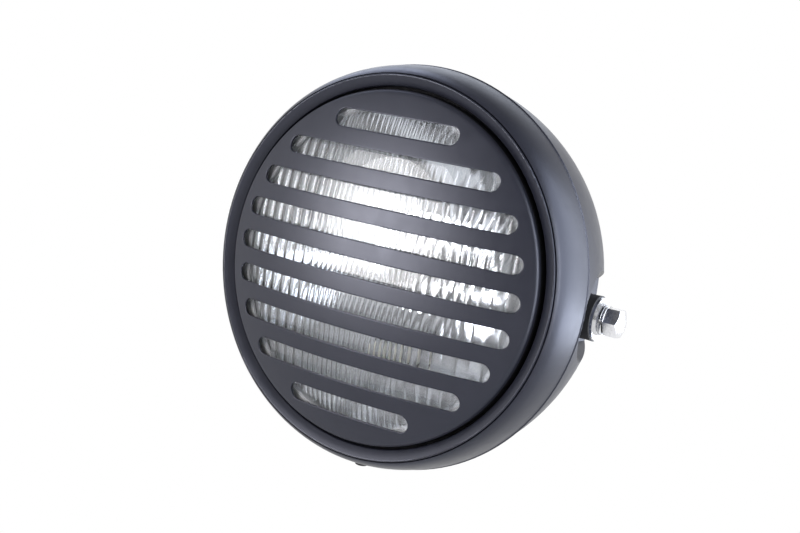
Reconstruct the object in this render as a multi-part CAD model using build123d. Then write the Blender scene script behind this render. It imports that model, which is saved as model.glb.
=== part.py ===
from build123d import *
import math
import os

# Round motorcycle headlight with a slotted grille, in millimetres.
# The lamp is drawn with its axis along Y, facing -Y, and the grille's rim plane at y = 0.
# At the end it is moved so that the origin is midway between the two mounting bolts.

# Grille: domed sheet with rounded level slots, a side wall and a flange
GRILLE_R = 85.2
GRILLE_SAG = 15.6
GRILLE_T = 1.5
GRILLE_EDGE_R = 3.0
GRILLE_WALL = 8.0
SLOT_PITCH = 17.0
SLOT_HEIGHT = 8.7
SLOT_BORDER = 6.7

# Trim ring: lip, crease, rounded flank and rolled hem
GROOVE_W = 1.7
RING_T = 1.2
LIP_W = 5.7
LIP_BACK = 3.6
LIP_CROWN_BACK = 0.4
LIP_BULGE = 0.3
LIP_EDGE_R = 1.0
LIP_CROWN_R = 0.5
CREASE_BACK = 1.4
CREASE_W = 0.8
CREASE_DEPTH = 0.8
FLANK_W = 6.5
FLANK_SHOULDER = 1.3
FLANK_TURN = 4.6
RING_DEPTH = 23.2
HEM_R = 0.9
HEM_PROUD = 0.4

# Bucket: drawn bowl with a joggled mouth, a flat back and a sunk flat at each side
BUCKET_T = 1.5
BOWL_STEP = 1.3
BOWL_STRAIGHT = 0.6
SEAM_GAP = 0.8
MOUTH_FRONT = 12.5
REAR_FLAT_R = 20.0
POCKET_R = 16.0
POCKET_DRAFT = 29.0
POCKET_DEPTH = 17.5

# Side mounts: where the bolt axis lies, and the stack on it from the pocket outwards
RIM_TO_MOUNT = 52.0
MOUNT_DROP = 5.0
BOLT_D = 8.0
BOLT_HOLE_D = 9.0
BOLT_TAIL = 2.0
HEAD_AF = 13.0
HEAD_HEX_H = 6.3
HEAD_DOME_H = 2.0
BUSH_L = 14.6
BUSH_BASE_D = 24.6
BUSH_TIP_D = 22.2
BUSH_WAIST = 0.6
WIDE_WASHER_D = 21.0
WIDE_WASHER_T = 1.6
PLAIN_WASHER_D = 16.0
PLAIN_WASHER_T = 1.6
SPRING_WASHER_D = 14.8
SPRING_WASHER_T = 2.2
SPRING_SPLIT_W = 1.4
SPRING_SPLIT_TILT = 25.0
NUT_AF = 13.0
NUT_H = 6.5
NUT_FLANGE_D = 18.0
NUT_FLANGE_T = 1.5

# Light unit: lens, gasket and reflector
LENS_GAP = 3.5
LENS_T = 4.0
LENS_SIDE_GAP = 1.7
LENS_RIM_T = 3.5
FLUTE_PITCH = 6.0
FLUTE_DEPTH = 0.9
FINE_PITCH = 3.0
FINE_HALF_W = 24.0
FLUTE_BORDER = 3.0
GASKET_T = 1.5
FOCAL_LENGTH = 27.0
REFLECTOR_T = 1.25

# Main bulb and what holds it
BULB_HOLE_R = 19.0
COLLAR_W = 7.0
COLLAR_T = 6.0
BULB_FLANGE_R = 21.5
BULB_FLANGE_T = 1.0
BULB_TAB_R = 24.0
BULB_TAB_W = 7.0
BULB_TAB_COUNT = 3
BARREL_L = 11.0
BARREL_T = 1.6
BULB_GLASS_R = 8.5
BULB_GLASS_L = 46.0
BULB_TIP_R = 6.0
BULB_BASE_R = 11.0
BULB_BASE_L = 11.0
BLADE_W = 7.8
BLADE_T = 0.8
BLADE_L = 11.0
BLADE_OFFSET = 6.0
CLIP_WIRE_D = 1.5
CLIP_HALF_W = 13.5
CLIP_HALF_L = 18.0
CLIP_BEND_R = 4.0
BOOT_T = 2.0
BOOT_SKIRT = 9.0
BOOT_NECK = 5.0

# Pilot lamp in the reflector
PILOT_X = -8.0
PILOT_Z = -47.0
PILOT_HOLE_R = 7.5
PILOT_BOSS_T = 1.5
PILOT_BOSS_PAST = 2.5
PILOT_BULB_R = 5.0
PILOT_BULB_L = 19.0
PILOT_SOCKET_L = 8.0
PILOT_FLANGE_W = 2.5
PILOT_FLANGE_T = 3.0

# Ring that holds the light unit in the trim ring, and its posts and screws
POST_D = 6.0
POST_COUNT = 4
EAR_R = 3.0
RETAINER_T = 1.2
RETAINER_W = 8.0
RETAINING_SCREW_D = 3.5
RETAINING_SCREW_L = 9.0
RETAINING_HEAD_D = 5.8
RETAINING_HEAD_H = 2.2

# Clamp screw under the ring and the tongue that hooks into the bucket at the top
RING_SCREW_D = 4.0
RING_SCREW_BACK = 4.0
RING_SCREW_TAIL = 1.0
RING_HEAD_D = 6.4
RING_HEAD_H = 1.4
RING_NUT_AF = 7.0
RING_NUT_H = 3.2
TONGUE_W = 16.0
TONGUE_T = 1.2
TONGUE_REACH = 4.0
TONGUE_GAP = 0.4

# Cable inlet at the back
GROMMET_HOLE_R = 11.0
GROMMET_BORE_R = 6.0
GROMMET_FLANGE_R = 14.0
GROMMET_FLANGE_T = 2.5

# Angle round the lamp axis, from +X, where turned surfaces join up with themselves
JOINING_ANGLE = 67.5

# Room left between pieces that slide or screw into each other
FIT_GAP = 0.2
THREAD_GAP = 0.05
SCREW_HOLE_GAP = 0.3

# Length of a cut through a wall, centred on that wall
CUT_L = 12.0

# Radii and depths that follow from the driving dimensions
LIP_R = GRILLE_R + GROOVE_W
CREASE_R = LIP_R + LIP_W
RING_R = CREASE_R + FLANK_W
SEAT_R = LIP_R + RING_T
DOME_R = (GRILLE_R**2 + GRILLE_SAG**2)/(2*GRILLE_SAG)
DOME_CENTRE = DOME_R - GRILLE_SAG
SLOT_FIELD_R = GRILLE_R - SLOT_BORDER
FLANGE_BACK = GRILLE_WALL + GRILLE_T
LENS_R = GRILLE_R - GRILLE_T - LENS_SIDE_GAP
LENS_FRONT_R = DOME_R - GRILLE_T - LENS_GAP
LENS_BACK_R = LENS_FRONT_R - LENS_T
LENS_INNER_R = LENS_R - LENS_T
LENS_RIM_FRONT = FLANGE_BACK + GASKET_T
UNIT_BACK = LENS_RIM_FRONT + LENS_RIM_T
REFLECTOR_VERTEX = UNIT_BACK + LENS_INNER_R**2/(4*FOCAL_LENGTH)
SEAT_LAND_R = BULB_HOLE_R + COLLAR_W
SEAT_LAND = REFLECTOR_VERTEX - SEAT_LAND_R**2/(4*FOCAL_LENGTH)
RETAINER_FRONT = UNIT_BACK + REFLECTOR_T
RETAINER_BACK = RETAINER_FRONT + RETAINER_T
COLLAR_FRONT = SEAT_LAND + REFLECTOR_T
COLLAR_BACK = COLLAR_FRONT + COLLAR_T
BULB_BACK = COLLAR_BACK + BULB_FLANGE_T
POST_R = SEAT_R + FIT_GAP + POST_D/2
SEAM = RING_DEPTH + HEM_R + SEAM_GAP
BOWL_R = RING_R - BOWL_STEP
BOWL_CENTRE = SEAM + BUCKET_T + BOWL_STRAIGHT
BACK_FLAT = BOWL_CENTRE + math.sqrt(BOWL_R**2 - REAR_FLAT_R**2)
POCKET_FLOOR = BOWL_R - POCKET_DEPTH
RING_SCREW_Y = RING_DEPTH - RING_SCREW_BACK
HOOK_Y = MOUTH_FRONT + TONGUE_REACH - TONGUE_T/2


def flank_points(inset):
    """Control points of the flank's curve as (radius, depth), set in from the outside by inset."""
    start = (CREASE_R + CREASE_W/2 - inset, CREASE_BACK + inset/2)
    turn = (RING_R - FLANK_SHOULDER - inset, FLANK_TURN + inset/2)
    end = (RING_R - inset, RING_DEPTH + inset/2)
    return start, turn, end


def flank_radius(depth, inset):
    """Radius of the flank's curve at one depth."""
    (r0, y0), (r1, y1), (r2, y2) = flank_points(inset)
    a = y0 - 2*y1 + y2
    b = 2*(y1 - y0)
    t = (-b + math.sqrt(b*b - 4*a*(y0 - depth)))/(2*a)
    return (1 - t)**2*r0 + 2*t*(1 - t)*r1 + t*t*r2


MOUTH_R = flank_radius(MOUTH_FRONT, RING_T) - FIT_GAP
MOUTH_INNER_R = MOUTH_R - BUCKET_T


def spun(face):
    """Solid turned about the lamp axis, its joining line clear of the holes and pockets."""
    return revolve(face.rotate(Axis.Y, JOINING_ANGLE), Axis.Y)


def turned(outline):
    """Solid turned about the lamp axis from a closed outline of (radius, depth) points."""
    return spun(make_face(outline))


def turned_points(*points):
    """Solid turned about the lamp axis from straight-sided corner points."""
    return turned(Polyline(*points, close=True))


def tube(outer, inner, front, back):
    """Round ring on the lamp axis between two depths."""
    return turned_points((inner, front), (outer, front), (outer, back), (inner, back))


def rounded(face, corner, radius):
    """Round the corner of a face that is nearest to the given point."""
    vertex = face.vertices().sort_by_distance(Vector(*corner, 0))[0]
    return fillet(vertex, radius)


def dome_depth(radius, sphere_r):
    """Depth of a sphere about the dome's centre at one radius from the lamp axis."""
    return DOME_CENTRE - math.sqrt(sphere_r**2 - radius**2)


def dome_arc(radius, sphere_r):
    """Arc of that sphere from the lamp axis out to one radius."""
    middle = radius/2
    return ThreePointArc(
        (0, dome_depth(0, sphere_r)),
        (middle, dome_depth(middle, sphere_r)),
        (radius, dome_depth(radius, sphere_r)),
    )


def along_y(sketch, x, z, front, back):
    """Prism of a sketch centred at (x, z), running back along the lamp axis."""
    plane = Plane((x, front, z), x_dir=(1, 0, 0), z_dir=(0, 1, 0))
    return extrude(plane*sketch, back - front)


def along_x(sketch, inner, outer, draft=0):
    """Prism of a sketch on the bolt axis, running out to the right and widening by a draft angle."""
    plane = Plane((inner, RIM_TO_MOUNT, -MOUNT_DROP), x_dir=(0, 1, 0), z_dir=(1, 0, 0))
    return extrude(plane*sketch, outer - inner, taper=-draft)


def both_sides(right):
    """The right-hand piece and its mirror image as one group."""
    return Part() + [right, mirror(right, Plane.YZ)]


def make_grille():
    """Domed sheet with a rounded rim, a side wall and a flange, cut by level slots."""
    inner_r = GRILLE_R - GRILLE_T
    outside = dome_arc(GRILLE_R, DOME_R)
    inside = dome_arc(inner_r, DOME_R - GRILLE_T)
    wall = Polyline(
        outside @ 1,
        (GRILLE_R, GRILLE_WALL),
        (SEAT_R, GRILLE_WALL),
        (SEAT_R, FLANGE_BACK),
        (inner_r, FLANGE_BACK),
        inside @ 1,
    )
    face = make_face(outside + wall + inside + Line(inside @ 0, outside @ 0))
    face = rounded(face, outside @ 1, GRILLE_EDGE_R)
    face = rounded(face, inside @ 1, GRILLE_EDGE_R - GRILLE_T)
    plate = spun(face)
    cap_r = SLOT_HEIGHT/2
    cap_field_r = SLOT_FIELD_R - cap_r
    rows = int(cap_field_r/SLOT_PITCH)
    for row in range(-rows, rows + 1):
        z = row*SLOT_PITCH
        centres = 2*math.sqrt(cap_field_r**2 - z**2)
        slot = SlotCenterToCenter(centres, SLOT_HEIGHT)
        plate -= along_y(slot, 0, z, -GRILLE_SAG - GRILLE_T, GRILLE_WALL)
    return plate


def ring_front():
    """Outline of the ring's outside, from the lip's inner wall over the crease to the hem."""
    lip_edge = (LIP_R, LIP_BACK)
    crown = (CREASE_R - CREASE_W/2, LIP_CROWN_BACK)
    swell = ((lip_edge[0] + crown[0])/2, (lip_edge[1] + crown[1])/2 - LIP_BULGE)
    wall = Line((LIP_R, GRILLE_WALL), lip_edge)
    lip = ThreePointArc(lip_edge, swell, crown)
    crease = Polyline(crown, (CREASE_R, CREASE_BACK + CREASE_DEPTH), flank_points(0)[0])
    return wall + lip + crease + Bezier(*flank_points(0))


def make_trim_ring():
    """Pressed ring with its screw posts, its hooked tongue and the hole for the clamp screw."""
    lip_inner = (SEAT_R, LIP_BACK + RING_T)
    inner_flank = Bezier(*flank_points(RING_T))
    back = Polyline(inner_flank @ 0, lip_inner, (SEAT_R, GRILLE_WALL), (LIP_R, GRILLE_WALL))
    hem_edge = Line(flank_points(0)[2], inner_flank @ 1)
    face = make_face(ring_front() + hem_edge + inner_flank + back)
    face = rounded(face, (LIP_R, LIP_BACK), LIP_EDGE_R)
    face = rounded(face, (CREASE_R - CREASE_W/2, LIP_CROWN_BACK), LIP_CROWN_R)
    ring = spun(face)
    hem = Pos(RING_R + HEM_PROUD - HEM_R, RING_DEPTH)*Circle(HEM_R)
    ring += spun(hem)
    closing = Polyline(flank_points(0)[2], (LIP_R, RING_DEPTH), (LIP_R, GRILLE_WALL))
    room_behind = turned(ring_front() + closing)
    post = Circle(POST_D/2) - Circle(RETAINING_SCREW_D/2)
    for x, z in post_places():
        ring += along_y(post, x, z, 0, RETAINER_FRONT) & room_behind
    ring += make_tongue() & room_behind
    hole = Cylinder(RING_SCREW_D/2 + SCREW_HOLE_GAP, CUT_L)
    return ring - Pos(0, RING_SCREW_Y, -RING_R)*hole


def post_places():
    """Centres (x, z) of the screw posts, evenly round the ring between the main directions."""
    turn = 360/POST_COUNT
    angles = [math.radians(turn*(i + 0.5)) for i in range(POST_COUNT)]
    return [(POST_R*math.cos(a), POST_R*math.sin(a)) for a in angles]


def make_tongue():
    """Strip inside the ring's top that runs back and turns up into the bucket's slot."""
    strip_top = math.sqrt(MOUTH_INNER_R**2 - (TONGUE_W/2)**2) - FIT_GAP
    strip_l = HOOK_Y + TONGUE_T/2
    strip = Pos(0, strip_l/2, strip_top - TONGUE_T/2)*Box(TONGUE_W, strip_l, TONGUE_T)
    hook_h = MOUTH_R - strip_top
    hook = Pos(0, HOOK_Y, strip_top + hook_h/2)*Box(TONGUE_W, TONGUE_T, hook_h)
    return strip + hook


def pocket(radius, floor):
    """U-shaped prism round the bolt axis, open to the back, with sloped walls from its floor outwards."""
    run = BACK_FLAT - RIM_TO_MOUNT
    sketch = Circle(radius) + Pos(run/2, 0)*Rectangle(run, 2*radius)
    return along_x(sketch, floor, RING_R, POCKET_DRAFT)


def bowl(mouth_r, bowl_r, step, back):
    """Solid bowl: a straight mouth, a step out to the round dish, and a flat back."""
    back_r = math.sqrt(bowl_r**2 - (back - BOWL_CENTRE)**2)
    middle = math.radians(45)
    dish = ThreePointArc(
        (bowl_r, BOWL_CENTRE),
        (bowl_r*math.cos(middle), BOWL_CENTRE + bowl_r*math.sin(middle)),
        (back_r, back),
    )
    front = Polyline(
        dish @ 1,
        (0, back),
        (0, MOUTH_FRONT),
        (mouth_r, MOUTH_FRONT),
        (mouth_r, step),
        (bowl_r, step),
        dish @ 0,
    )
    return turned(dish + front)


def make_bucket():
    """Drawn bowl: outside less the side pockets, hollowed to an even wall."""
    body = bowl(MOUTH_R, BOWL_R, SEAM, BACK_FLAT)
    hollow = bowl(MOUTH_INNER_R, BOWL_R - BUCKET_T, SEAM + BUCKET_T, BACK_FLAT - BUCKET_T)
    cut = pocket(POCKET_R, POCKET_FLOOR)
    slope = math.radians(POCKET_DRAFT)
    keep_r = POCKET_R + BUCKET_T*(1 - math.sin(slope))/math.cos(slope)
    keep = pocket(keep_r, POCKET_FLOOR - BUCKET_T)
    bolt_hole = along_x(Circle(BOLT_HOLE_D/2), POCKET_FLOOR - 2*BUCKET_T, RING_R)
    hollow -= keep
    hollow -= mirror(keep, Plane.YZ)
    body -= cut
    body -= mirror(cut, Plane.YZ)
    body -= hollow
    body -= bolt_hole
    body -= mirror(bolt_hole, Plane.YZ)
    body -= along_y(Circle(GROMMET_HOLE_R), 0, 0, BACK_FLAT - 2*BUCKET_T, BACK_FLAT + BUCKET_T)
    screw_hole = Cylinder(RING_SCREW_D/2 + SCREW_HOLE_GAP, CUT_L)
    body -= Pos(0, RING_SCREW_Y, -MOUTH_R)*screw_hole
    slot = Box(TONGUE_W + 2*TONGUE_GAP, TONGUE_T + 2*TONGUE_GAP, CUT_L)
    return body - Pos(0, HOOK_Y, MOUTH_R)*slot


def make_lens():
    """Domed glass with a side wall and a rim, fluted up and down inside."""
    front = dome_arc(LENS_R, LENS_FRONT_R)
    back = dome_arc(LENS_INNER_R, LENS_BACK_R)
    side = Polyline(
        front @ 1,
        (LENS_R, LENS_RIM_FRONT),
        (SEAT_R, LENS_RIM_FRONT),
        (SEAT_R, UNIT_BACK),
        (LENS_INNER_R, UNIT_BACK),
        back @ 1,
    )
    return turned(front + side + back + Line(back @ 0, front @ 0)) - make_flutes()


def flute_edges(field_r):
    """Edges of the flutes from left to right: fine ones in the middle, wide ones at both sides."""
    fine = round(FINE_HALF_W/FINE_PITCH)
    wide = int((field_r - FINE_HALF_W)/FLUTE_PITCH)
    half = [i*FINE_PITCH for i in range(fine)]
    half += [FINE_HALF_W + i*FLUTE_PITCH for i in range(wide + 1)]
    return [-x for x in reversed(half[1:])] + half


def make_flutes():
    """Scalloped strip turned about the dome's cross axis, so each flute follows the dome."""
    field_r = LENS_INNER_R - FLUTE_BORDER
    edges = flute_edges(field_r)

    def on_dome(x, lift):
        return (x, DOME_CENTRE - math.sqrt(LENS_BACK_R**2 - x*x) - lift)

    scallops = Curve()
    for left, right in zip(edges, edges[1:]):
        deepest = on_dome((left + right)/2, FLUTE_DEPTH*(right - left)/FLUTE_PITCH)
        scallops += ThreePointArc(on_dome(left, 0), deepest, on_dome(right, 0))
    behind = dome_depth(field_r, LENS_BACK_R) + LENS_T
    closing = Polyline(on_dome(edges[-1], 0), (edges[-1], behind), (edges[0], behind), on_dome(edges[0], 0))
    half_turn = math.degrees(math.asin(field_r/LENS_BACK_R))
    cross_axis = Axis((0, DOME_CENTRE, 0), (1, 0, 0))
    strip = make_face(scallops + closing).rotate(cross_axis, -half_turn)
    return revolve(strip, cross_axis, 2*half_turn) & along_y(Circle(field_r), 0, 0, -DOME_R, UNIT_BACK)


def parabola(shift):
    """Reflector's curve from the lens to the bulb seat, moved back by shift."""
    rise = LENS_INNER_R*SEAT_LAND_R/(4*FOCAL_LENGTH)
    return Bezier(
        (LENS_INNER_R, UNIT_BACK + shift),
        ((LENS_INNER_R + SEAT_LAND_R)/2, REFLECTOR_VERTEX - rise + shift),
        (SEAT_LAND_R, SEAT_LAND + shift),
    )


def make_reflector():
    """Parabolic bowl with a front flange, a flat bulb seat and a boss for the pilot lamp."""
    inside = parabola(0)
    outside = parabola(REFLECTOR_T)
    flange = Polyline(inside @ 0, (SEAT_R, UNIT_BACK), (SEAT_R, RETAINER_FRONT), outside @ 0)
    seat = Polyline(inside @ 1, (BULB_HOLE_R, SEAT_LAND), (BULB_HOLE_R, COLLAR_FRONT), outside @ 1)
    shell = turned(inside + flange + outside + seat)
    room = turned(inside + Polyline(inside @ 1, (0, SEAT_LAND), (0, UNIT_BACK), inside @ 0))
    boss = along_y(Circle(PILOT_HOLE_R + PILOT_BOSS_T), PILOT_X, PILOT_Z, UNIT_BACK, pilot_boss_back())
    hole = along_y(Circle(PILOT_HOLE_R), PILOT_X, PILOT_Z, UNIT_BACK, pilot_boss_back())
    return shell + (boss - room) - hole


def pilot_boss_back():
    """Depth of the pilot boss's flat end, just past where it leaves the reflector."""
    nearest = math.hypot(PILOT_X, PILOT_Z) - PILOT_HOLE_R - PILOT_BOSS_T
    return REFLECTOR_VERTEX + REFLECTOR_T - nearest**2/(4*FOCAL_LENGTH) + PILOT_BOSS_PAST


def make_pilot_holder():
    """Rubber plug in the boss with a flange behind it and a socket for the bulb."""
    end = pilot_boss_back()
    plug = along_y(Circle(PILOT_HOLE_R - FIT_GAP), PILOT_X, PILOT_Z, end - PILOT_SOCKET_L, end)
    flange_r = PILOT_HOLE_R + PILOT_BOSS_T + PILOT_FLANGE_W
    plug += along_y(Circle(flange_r), PILOT_X, PILOT_Z, end, end + PILOT_FLANGE_T)
    return plug - along_y(Circle(PILOT_BULB_R + FIT_GAP), PILOT_X, PILOT_Z, end - PILOT_SOCKET_L, end)


def make_pilot_bulb():
    """Small round-ended bulb seated on the bottom of its socket."""
    end = pilot_boss_back()
    tip = end - PILOT_BULB_L
    shoulder = tip + PILOT_BULB_R
    body = along_y(Circle(PILOT_BULB_R), PILOT_X, PILOT_Z, shoulder, end)
    return body + Pos(PILOT_X, shoulder, PILOT_Z)*Sphere(PILOT_BULB_R)


def make_retaining_ring():
    """Flat ring behind the reflector's flange with an ear on each post."""
    ring = Circle(SEAT_R) - Circle(SEAT_R - RETAINER_W)
    holes = Sketch()
    neck_l = POST_R - SEAT_R + RETAINER_W/2
    neck = Pos(POST_R - neck_l/2, 0)*Rectangle(neck_l, 2*EAR_R)
    for x, z in post_places():
        ring += Rot(0, 0, -math.degrees(math.atan2(z, x)))*neck
        ring += Pos(x, -z)*Circle(EAR_R)
        holes += Pos(x, -z)*Circle(RETAINING_SCREW_D/2 + FIT_GAP)
    return along_y(ring - holes, 0, 0, RETAINER_FRONT, RETAINER_BACK)


def make_retaining_screws():
    """Round-headed screws through the ears into the posts."""
    screws = []
    for x, z in post_places():
        shank_end = RETAINER_BACK - RETAINING_SCREW_L
        shank = along_y(Circle(RETAINING_SCREW_D/2 - THREAD_GAP), x, z, shank_end, RETAINER_BACK)
        head_end = RETAINER_BACK + RETAINING_HEAD_H
        head = along_y(Circle(RETAINING_HEAD_D/2), x, z, RETAINER_BACK, head_end)
        head = fillet(head.edges().sort_by(Axis.Y)[-1], RETAINING_HEAD_H/2)
        screws.append(shank + head)
    return Part() + screws


def make_bulb_flange():
    """Round cap plate with three tabs, and the barrel that grips the glass."""
    plate = Circle(BULB_FLANGE_R)
    tab = Pos(0, -BULB_TAB_R/2)*Rectangle(BULB_TAB_W, BULB_TAB_R)
    for i in range(BULB_TAB_COUNT):
        plate += Rot(0, 0, i*360/BULB_TAB_COUNT)*tab
    barrel_r = BULB_GLASS_R + FIT_GAP + BARREL_T
    flange = along_y(plate, 0, 0, COLLAR_BACK, BULB_BACK)
    barrel = Circle(barrel_r) - Circle(BULB_GLASS_R + FIT_GAP)
    return flange + along_y(barrel, 0, 0, COLLAR_BACK - BARREL_L, COLLAR_BACK)


def make_bulb_glass():
    """Round-ended glass seated on the cap plate inside the barrel."""
    tip = COLLAR_BACK - BULB_GLASS_L
    body = along_y(Circle(BULB_GLASS_R), 0, 0, tip, COLLAR_BACK)
    return fillet(body.edges().sort_by(Axis.Y)[0], BULB_TIP_R)


def make_bulb_base():
    """Moulded base behind the cap plate with a slot for each blade."""
    base = along_y(Circle(BULB_BASE_R), 0, 0, BULB_BACK, BULB_BACK + BULB_BASE_L)
    return base - make_blades(FIT_GAP/2)


def make_blades(grow):
    """The three contact blades, set in the base to half its length."""
    root = BULB_BACK + BULB_BASE_L/2
    end = BULB_BACK + BULB_BASE_L + BLADE_L
    flat = Rectangle(BLADE_W + 2*grow, BLADE_T + 2*grow)
    upright = Rectangle(BLADE_T + 2*grow, BLADE_W + 2*grow)
    blades = [along_y(flat, 0, BLADE_OFFSET, root, end)]
    for x in (-BLADE_OFFSET, BLADE_OFFSET):
        blades.append(along_y(upright, x, -BLADE_T, root, end))
    return Part() + blades


def make_bulb_clip():
    """Wire bent to a U that presses the cap plate onto the collar."""
    y = BULB_BACK + CLIP_WIRE_D/2
    path = FilletPolyline(
        (-CLIP_HALF_W, y, CLIP_HALF_L),
        (-CLIP_HALF_W, y, -CLIP_HALF_L),
        (CLIP_HALF_W, y, -CLIP_HALF_L),
        (CLIP_HALF_W, y, CLIP_HALF_L),
        radius=CLIP_BEND_R,
    )
    section = Plane(path @ 0, z_dir=path % 0)*Circle(CLIP_WIRE_D/2)
    return sweep(section, path=path)


def make_bulb_boot():
    """Rubber boot from the collar's outside to the neck of the bulb base."""
    skirt_r = SEAT_LAND_R + FIT_GAP/2
    neck_r = BULB_BASE_R + FIT_GAP/2
    skirt_back = COLLAR_FRONT + BOOT_SKIRT
    neck_back = BULB_BACK + BULB_BASE_L
    neck_front = neck_back - BOOT_NECK
    return turned_points(
        (skirt_r, COLLAR_FRONT),
        (skirt_r + BOOT_T, COLLAR_FRONT),
        (skirt_r + BOOT_T, skirt_back),
        (neck_r + BOOT_T, neck_front + BOOT_T),
        (neck_r + BOOT_T, neck_back),
        (neck_r, neck_back),
        (neck_r, neck_front),
        (skirt_r, skirt_back - BOOT_T),
    )


def make_grommet():
    """Rubber inlet with a flange on each side of the bucket's back wall."""
    inside = BACK_FLAT - BUCKET_T
    return turned_points(
        (GROMMET_BORE_R, inside - GROMMET_FLANGE_T),
        (GROMMET_FLANGE_R, inside - GROMMET_FLANGE_T),
        (GROMMET_FLANGE_R, inside),
        (GROMMET_HOLE_R - FIT_GAP, inside),
        (GROMMET_HOLE_R - FIT_GAP, BACK_FLAT),
        (GROMMET_FLANGE_R, BACK_FLAT),
        (GROMMET_FLANGE_R, BACK_FLAT + GROMMET_FLANGE_T),
        (GROMMET_BORE_R, BACK_FLAT + GROMMET_FLANGE_T),
    )


# Stations along the bolt, from the pocket floor outwards
BUSH_END = POCKET_FLOOR + BUSH_L
WIDE_END = BUSH_END + WIDE_WASHER_T
PLAIN_END = WIDE_END + PLAIN_WASHER_T
HEAD_BASE = PLAIN_END + SPRING_WASHER_T
HEAD_END = HEAD_BASE + HEAD_HEX_H + HEAD_DOME_H
NUT_SEAT = POCKET_FLOOR - BUCKET_T
NUT_END = NUT_SEAT - NUT_FLANGE_T - NUT_H


def bolt_ring(outer_d, inner, outer):
    """Washer on the bolt between two stations."""
    return along_x(Circle(outer_d/2) - Circle(BOLT_D/2 + FIT_GAP), inner, outer)


def on_bolt_axis(outline):
    """Solid turned about the bolt axis from (station, radius) points."""
    face = Plane((0, RIM_TO_MOUNT, -MOUNT_DROP), x_dir=(1, 0, 0), z_dir=(0, 0, 1))*make_face(outline)
    return revolve(face, Axis((0, RIM_TO_MOUNT, -MOUNT_DROP), (1, 0, 0)))


def make_bush():
    """Tapered rubber bush with a waist."""
    base = (POCKET_FLOOR, BUSH_BASE_D/2)
    tip = (BUSH_END, BUSH_TIP_D/2)
    waist = ((base[0] + tip[0])/2, (base[1] + tip[1])/2 - BUSH_WAIST)
    bore = BOLT_D/2 + FIT_GAP
    ends = Polyline(tip, (BUSH_END, bore), (POCKET_FLOOR, bore), base)
    return on_bolt_axis(ThreePointArc(base, waist, tip) + ends)


def make_spring_washer():
    """Washer cut through by a slanting split that faces forwards."""
    ring = bolt_ring(SPRING_WASHER_D, PLAIN_END, HEAD_BASE)
    middle = (PLAIN_END + HEAD_BASE)/2
    split = Rot(SPRING_SPLIT_TILT, 0, 0)*Pos(0, -SPRING_WASHER_D/2, 0)
    cutter = Rot(0, SPRING_SPLIT_TILT, 0)*Box(SPRING_WASHER_T*2, SPRING_WASHER_D, SPRING_SPLIT_W)
    return ring - Pos(middle, RIM_TO_MOUNT, -MOUNT_DROP)*split*cutter


def make_bolt():
    """Hex bolt with a domed end, a corner to the front, and a plain shank."""
    hexagon = RegularPolygon(HEAD_AF/2, 6, major_radius=False)
    corner_r = HEAD_AF/math.sqrt(3)
    shoulder = HEAD_END - HEAD_DOME_H
    crown = TangentArc((HEAD_END, 0), (shoulder, corner_r), tangent=(0, 1))
    sides = Polyline((shoulder, corner_r), (HEAD_BASE, corner_r), (HEAD_BASE, 0), (HEAD_END, 0))
    head = along_x(hexagon, HEAD_BASE, HEAD_END) & on_bolt_axis(crown + sides)
    return head + along_x(Circle(BOLT_D/2), NUT_END - BOLT_TAIL, HEAD_BASE)


def make_nut():
    """Flange nut inside the bucket."""
    bore = Circle(BOLT_D/2 + THREAD_GAP)
    flange_end = NUT_SEAT - NUT_FLANGE_T
    nut = along_x(Circle(NUT_FLANGE_D/2) - bore, flange_end, NUT_SEAT)
    return nut + along_x(RegularPolygon(NUT_AF/2, 6, major_radius=False) - bore, NUT_END, flange_end)


def make_ring_screw():
    """Round-headed screw up through the ring and the bucket's mouth."""
    head_top = -flank_radius(RING_SCREW_Y + RING_HEAD_D/2, 0)
    shank_top = -(MOUTH_INNER_R - RING_NUT_H - RING_SCREW_TAIL)
    shank_l = shank_top - head_top
    shank = Pos(0, RING_SCREW_Y, head_top + shank_l/2)*Cylinder(RING_SCREW_D/2, shank_l)
    head = Cylinder(RING_HEAD_D/2, RING_HEAD_H)
    head = fillet(head.edges().sort_by(Axis.Z)[0], RING_HEAD_H/2)
    return shank + Pos(0, RING_SCREW_Y, head_top - RING_HEAD_H/2)*head


def make_ring_nut():
    """Hex nut for the clamp screw, inside the bucket's mouth."""
    flat = RegularPolygon(RING_NUT_AF/2, 6, major_radius=False) - Circle(RING_SCREW_D/2 + THREAD_GAP)
    nut_seat = -math.sqrt(MOUTH_INNER_R**2 - RING_NUT_AF**2/3)
    return Pos(0, RING_SCREW_Y, nut_seat)*extrude(flat, RING_NUT_H)


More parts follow.
